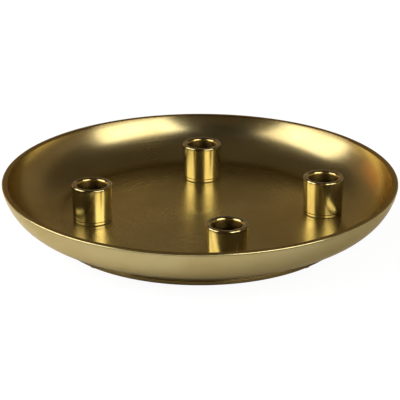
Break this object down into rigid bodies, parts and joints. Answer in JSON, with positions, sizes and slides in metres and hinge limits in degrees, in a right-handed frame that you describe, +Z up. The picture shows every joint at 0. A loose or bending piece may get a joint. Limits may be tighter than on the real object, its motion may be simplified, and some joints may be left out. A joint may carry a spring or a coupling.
{
  "type": "candle plate",
  "caption": "Round shallow dish on a foot ring with magnetic candle cups standing on its floor, in satin and polished brass finish.",
  "frame": {"origin": "centre of the dish on the table, level with the bottom of the felt pads", "axes": "+Z up along the dish's axis, -Y towards the viewer of the picture, +X to the picture's right"},
  "size_m": [0.2998, 0.2996, 0.041],
  "materials": {
    "satin_brass": "turned iron, brass plated and brushed to a satin, clear lacquer",
    "polished_brass": "turned solid brass, polished",
    "nickel_plate": "sintered magnet, nickel plated",
    "zinc_plate": "zinc plated steel",
    "felt": "pressed wool felt, self-adhesive"
  },
  "bodies": {
    "dish": {"plate": "satin_brass", "foot_pad_back_right": "felt", "foot_pad_back_left": "felt", "foot_pad_front_left": "felt", "foot_pad_front_right": "felt"},
    "cup_left": {"candle_cup_left": "polished_brass", "cup_magnet_left": "nickel_plate", "magnet_screw_left": "zinc_plate", "cup_felt_left": "felt"},
    "cup_back": {"candle_cup_back": "polished_brass", "cup_magnet_back": "nickel_plate", "magnet_screw_back": "zinc_plate", "cup_felt_back": "felt"},
    "cup_right": {"candle_cup_right": "polished_brass", "cup_magnet_right": "nickel_plate", "magnet_screw_right": "zinc_plate", "cup_felt_right": "felt"},
    "cup_front": {"candle_cup_front": "polished_brass", "cup_magnet_front": "nickel_plate", "magnet_screw_front": "zinc_plate", "cup_felt_front": "felt"}
  },
  "joints": [
    {"name": "lift_cup_left", "type": "slide", "parent": "dish", "child": "cup_left", "axis": [0, 0, 1], "range_m": [0, 0.04]},
    {"name": "lift_cup_back", "type": "slide", "parent": "dish", "child": "cup_back", "axis": [0, 0, 1], "range_m": [0, 0.04]},
    {"name": "lift_cup_right", "type": "slide", "parent": "dish", "child": "cup_right", "axis": [0, 0, 1], "range_m": [0, 0.04]},
    {"name": "lift_cup_front", "type": "slide", "parent": "dish", "child": "cup_front", "axis": [0, 0, 1], "range_m": [0, 0.04]}
  ]
}
